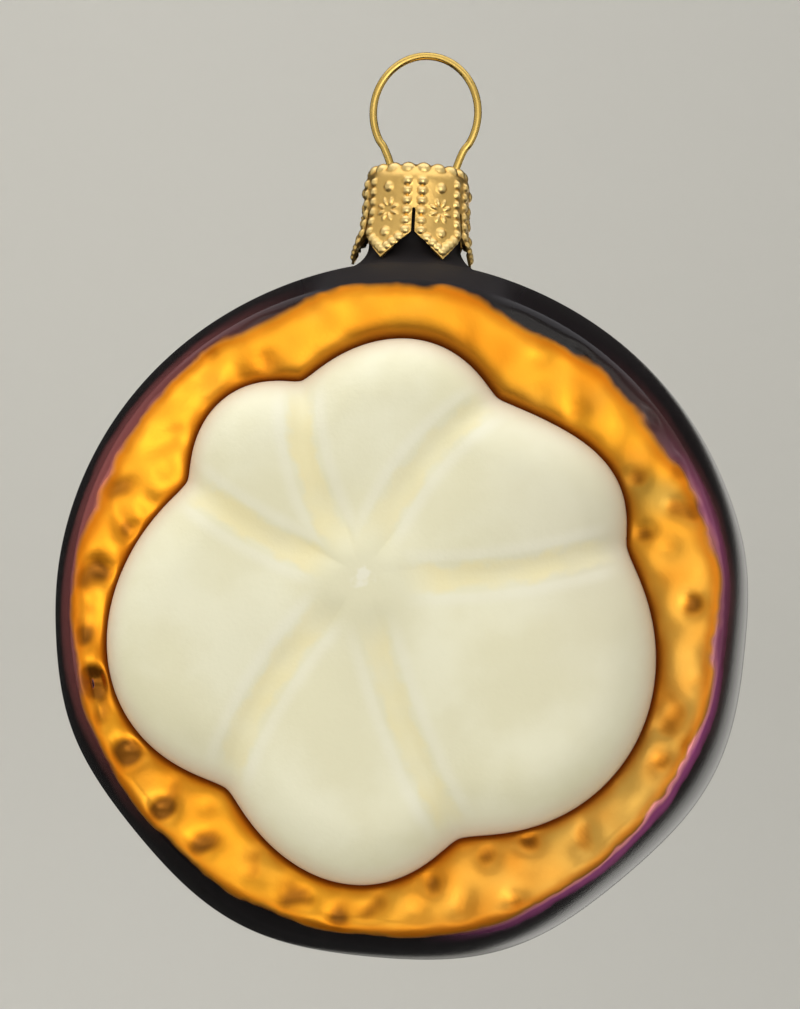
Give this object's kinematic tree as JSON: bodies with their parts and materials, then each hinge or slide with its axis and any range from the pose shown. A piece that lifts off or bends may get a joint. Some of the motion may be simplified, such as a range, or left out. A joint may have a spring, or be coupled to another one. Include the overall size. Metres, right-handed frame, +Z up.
{
  "type": "mangosteen-shaped glass christmas ornament",
  "caption": "Hollow blown glass tree ornament shaped and painted as a halved mangosteen, with a beaded gold crown cap and a wire loop for hanging.",
  "frame": {"origin": "the highest point inside the wire loop's eye, where a hook carries the ornament", "axes": "+Z up, +X to the right seen from the front, the cut face looks along -Y"},
  "size_m": [0.0702, 0.046, 0.0935],
  "materials": {
    "lacquered_glass": "hollow glass, lacquered outside: satin purple-black rind, gold dimpled cut ring, pearl-white segments with pale yellow lines",
    "cap_metal": "stamped and beaded sheet, satin gold lacquer",
    "loop_wire": "smooth drawn wire, gold lacquer"
  },
  "bodies": {
    "root": {"glass_body": "lacquered_glass", "crown_cap": "cap_metal", "hanger_wire": "loop_wire"}
  },
  "joints": []
}
